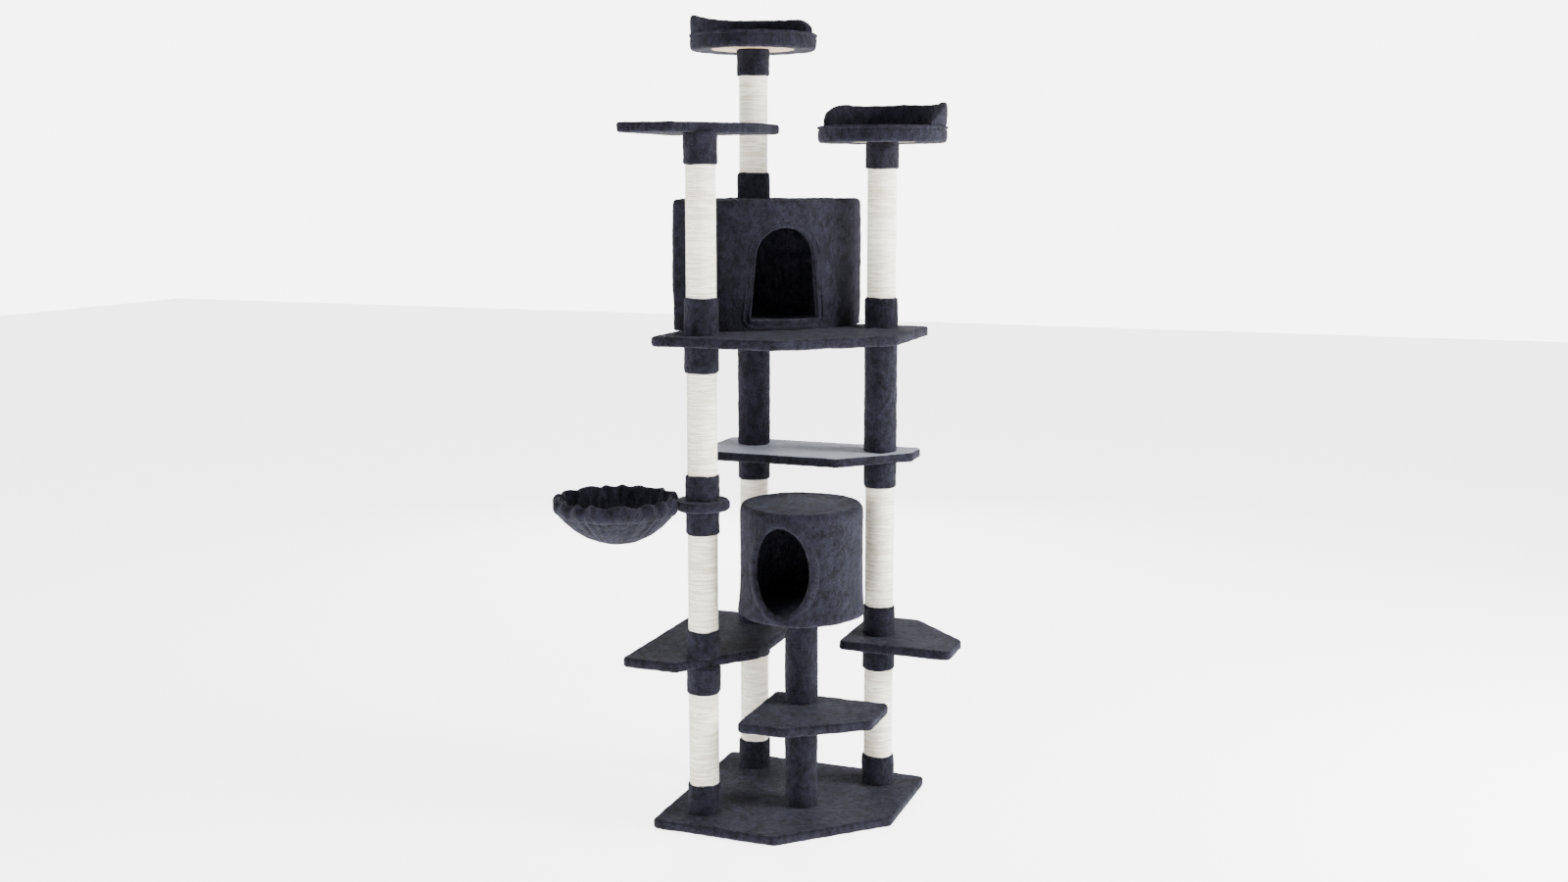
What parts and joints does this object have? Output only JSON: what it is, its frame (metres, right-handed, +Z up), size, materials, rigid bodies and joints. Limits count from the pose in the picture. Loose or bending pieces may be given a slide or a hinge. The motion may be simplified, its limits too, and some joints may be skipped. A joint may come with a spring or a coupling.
{
  "type": "cat tree",
  "caption": "Tall plush and sisal cat tree with stacked boards on four posts, a round house, a corner house, rimmed perches and a swivelling hammock.",
  "frame": {"origin": "centre of the base board's underside", "axes": "+Z up along the posts, +X to the right along the base's front edge, +Y to the back"},
  "size_m": [0.9283, 0.7492, 2.035],
  "materials": {
    "plush": "short pile plush, dark charcoal with a blue cast",
    "sisal": "bleached sisal rope wound tightly",
    "board": "raw chipboard",
    "cardboard": "wound paper tube and bent board",
    "steel": "zinc plated"
  },
  "bodies": {
    "frame": {"base_core": "board", "base_cover": "plush", "step_core": "board", "step_cover": "plush", "low_left_core": "board", "low_left_cover": "plush", "low_right_core": "board", "low_right_cover": "plush", "middle_core": "board", "middle_cover": "plush", "deck_core": "board", "deck_cover": "plush", "top_left_core": "board", "top_left_cover": "plush", "rear_perch_core": "board", "rear_perch_cover": "plush", "rear_perch_rim": "plush", "right_perch_core": "board", "right_perch_cover": "plush", "right_perch_rim": "plush", "front_left_tubes": "cardboard", "rear_left_tubes": "cardboard", "right_tubes": "cardboard", "centre_tubes": "cardboard", "front_left_sisal_1": "sisal", "front_left_sisal_2": "sisal", "front_left_sisal_3": "sisal", "front_left_sisal_4": "sisal", "rear_left_sisal_1": "sisal", "rear_left_sisal_2": "sisal", "rear_left_sisal_3": "sisal", "right_sisal_1": "sisal", "right_sisal_2": "sisal", "right_sisal_3": "sisal", "front_left_collars": "plush", "rear_left_collars": "plush", "right_collars": "plush", "rear_left_sleeve": "plush", "right_sleeve": "plush", "centre_lower_sleeve": "plush", "centre_upper_sleeve": "plush", "tube_end_plugs": "board", "post_studs": "steel", "board_bolts": "steel", "round_house_wall": "cardboard", "round_house_floor": "board", "round_house_roof": "board", "round_house_cover": "plush", "round_house_door_trim": "plush", "corner_house_wall": "cardboard", "corner_house_floor": "board", "corner_house_roof": "board", "corner_house_cover": "plush", "corner_house_door_trim": "plush"},
    "hammock": {"hammock_plate_core": "board", "hammock_plate_cover": "plush", "hammock_hoop": "steel", "hammock_bowl": "plush"}
  },
  "joints": [
    {"name": "hammock_swivel", "type": "hinge", "parent": "frame", "child": "hammock", "pos_m": [-0.178, -0.165, 0.817], "axis": [0, 0, 1], "range_deg": [-70, 90]}
  ]
}
